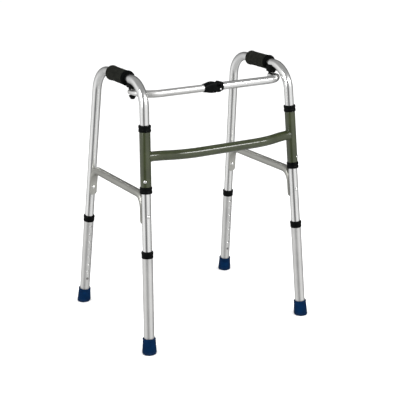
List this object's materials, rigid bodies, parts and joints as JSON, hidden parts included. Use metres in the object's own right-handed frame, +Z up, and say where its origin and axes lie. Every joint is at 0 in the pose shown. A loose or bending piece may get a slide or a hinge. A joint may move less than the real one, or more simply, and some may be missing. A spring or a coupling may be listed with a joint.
{
  "type": "folding walking frame",
  "caption": "Folding walking frame with two inverted-U side frames, an H-shaped front, a two-piece top bar and four telescopic legs with rubber feet.",
  "frame": {"origin": "on the floor under the centre of the footprint", "axes": "+Z up; the front of the frame faces -Y; pieces named left are at -X and pieces named right at +X, as seen from in front"},
  "size_m": [0.5524, 0.4726, 0.7592],
  "materials": {
    "polished_tube": "polished, bright anodised",
    "satin_tube": "satin anodised",
    "olive_paint": "glossy olive grey-green enamel",
    "black_nylon": "moulded nylon, slight sheen",
    "grip_foam": "matte closed-cell foam",
    "blue_rubber": "moulded rubber, slight sheen",
    "bright_steel": "bright plated",
    "spring_steel": "plain"
  },
  "bodies": {
    "front_frame": {"crossbar": "olive_paint", "left_sleeve": "olive_paint", "right_sleeve": "olive_paint", "left_sleeve_rivet": "bright_steel", "right_sleeve_rivet": "bright_steel"},
    "left_side_frame": {"left_side_tube": "polished_tube", "left_hand_grip": "grip_foam", "left_side_brace": "satin_tube", "left_upper_stop_collar": "black_nylon", "left_lower_stop_collar": "black_nylon", "left_bar_bracket": "black_nylon", "left_pivot_bolt": "bright_steel", "left_pivot_cap": "black_nylon", "left_front_brace_rivet": "bright_steel", "left_rear_brace_rivet": "bright_steel", "left_front_snap_spring": "spring_steel", "left_rear_snap_spring": "spring_steel"},
    "right_side_frame": {"right_side_tube": "polished_tube", "right_hand_grip": "grip_foam", "right_side_brace": "satin_tube", "right_upper_stop_collar": "black_nylon", "right_lower_stop_collar": "black_nylon", "right_bar_bracket": "black_nylon", "right_pivot_bolt": "bright_steel", "right_pivot_cap": "black_nylon", "right_front_brace_rivet": "bright_steel", "right_rear_brace_rivet": "bright_steel", "right_front_snap_spring": "spring_steel", "right_rear_snap_spring": "spring_steel"},
    "left_half_bar": {"left_top_bar": "satin_tube", "catch_wedge": "black_nylon"},
    "right_half_bar": {"right_top_bar": "polished_tube", "catch_knuckle": "black_nylon", "release_spring": "spring_steel"},
    "left_front_extension": {"left_front_extension_tube": "satin_tube", "left_front_extension_collar": "black_nylon", "left_front_foot": "blue_rubber"},
    "left_front_button": {"left_front_snap_button": "bright_steel"},
    "left_rear_extension": {"left_rear_extension_tube": "satin_tube", "left_rear_extension_collar": "black_nylon", "left_rear_foot": "blue_rubber"},
    "left_rear_button": {"left_rear_snap_button": "bright_steel"},
    "right_front_extension": {"right_front_extension_tube": "satin_tube", "right_front_extension_collar": "black_nylon", "right_front_foot": "blue_rubber"},
    "right_front_button": {"right_front_snap_button": "bright_steel"},
    "right_rear_extension": {"right_rear_extension_tube": "satin_tube", "right_rear_extension_collar": "black_nylon", "right_rear_foot": "blue_rubber"},
    "right_rear_button": {"right_rear_snap_button": "bright_steel"},
    "release": {"release_button": "bright_steel"}
  },
  "joints": [
    {"name": "left_fold", "type": "hinge", "parent": "front_frame", "child": "left_side_frame", "pos_m": [-0.23523, -0.17625, 0.53813], "axis": [-0.0385, -0.0738, -0.9965], "range_deg": [0, 88]},
    {"name": "right_fold", "type": "hinge", "parent": "front_frame", "child": "right_side_frame", "pos_m": [0.23523, -0.17625, 0.53813], "axis": [-0.0385, 0.0738, 0.9965], "range_deg": [0, 72]},
    {"name": "left_bar_swing", "type": "hinge", "parent": "left_side_frame", "child": "left_half_bar", "pos_m": [-0.2248, -0.09008, 0.70485], "axis": [0.0385, 0.0738, 0.9965], "range_deg": [0, 75]},
    {"name": "right_bar_swing", "type": "hinge", "parent": "right_side_frame", "child": "right_half_bar", "pos_m": [0.2248, -0.09008, 0.70485], "axis": [0.0385, -0.0738, -0.9965], "range_deg": [0, 75]},
    {"name": "left_front_extend", "type": "slide", "parent": "left_side_frame", "child": "left_front_extension", "axis": [-0.0385, -0.0738, -0.9965], "range_m": [0, 0.15]},
    {"name": "left_front_press", "type": "slide", "parent": "left_side_frame", "child": "left_front_button", "axis": [0.0028, -0.9973, 0.0737], "range_m": [0, 0.0045], "stiffness_N_per_m": 900, "springref_m": -0.001, "deforming": ["left_front_snap_spring"]},
    {"name": "left_rear_extend", "type": "slide", "parent": "left_side_frame", "child": "left_rear_extension", "axis": [-0.0382, 0.1376, -0.9897], "range_m": [0, 0.15]},
    {"name": "left_rear_press", "type": "slide", "parent": "left_side_frame", "child": "left_rear_button", "axis": [0.0053, 0.9905, 0.1375], "range_m": [0, 0.0045], "stiffness_N_per_m": 900, "springref_m": -0.001, "deforming": ["left_rear_snap_spring"]},
    {"name": "right_front_extend", "type": "slide", "parent": "right_side_frame", "child": "right_front_extension", "axis": [0.0385, -0.0738, -0.9965], "range_m": [0, 0.15]},
    {"name": "right_front_press", "type": "slide", "parent": "right_side_frame", "child": "right_front_button", "axis": [-0.0028, -0.9973, 0.0737], "range_m": [0, 0.0045], "stiffness_N_per_m": 900, "springref_m": -0.001, "deforming": ["right_front_snap_spring"]},
    {"name": "right_rear_extend", "type": "slide", "parent": "right_side_frame", "child": "right_rear_extension", "axis": [0.0382, 0.1376, -0.9897], "range_m": [0, 0.15]},
    {"name": "right_rear_press", "type": "slide", "parent": "right_side_frame", "child": "right_rear_button", "axis": [-0.0053, 0.9905, 0.1375], "range_m": [0, 0.0045], "stiffness_N_per_m": 900, "springref_m": -0.001, "deforming": ["right_rear_snap_spring"]},
    {"name": "release_press", "type": "slide", "parent": "right_half_bar", "child": "release", "axis": [0, 1, 0], "range_m": [0, 0.003], "stiffness_N_per_m": 600, "springref_m": -0.001, "deforming": ["release_spring"]}
  ],
  "couplings": [
    {"joint": "right_bar_swing", "follows": "left_fold", "ratio": 0.852},
    {"joint": "left_bar_swing", "follows": "right_fold", "ratio": 1.0415}
  ]
}
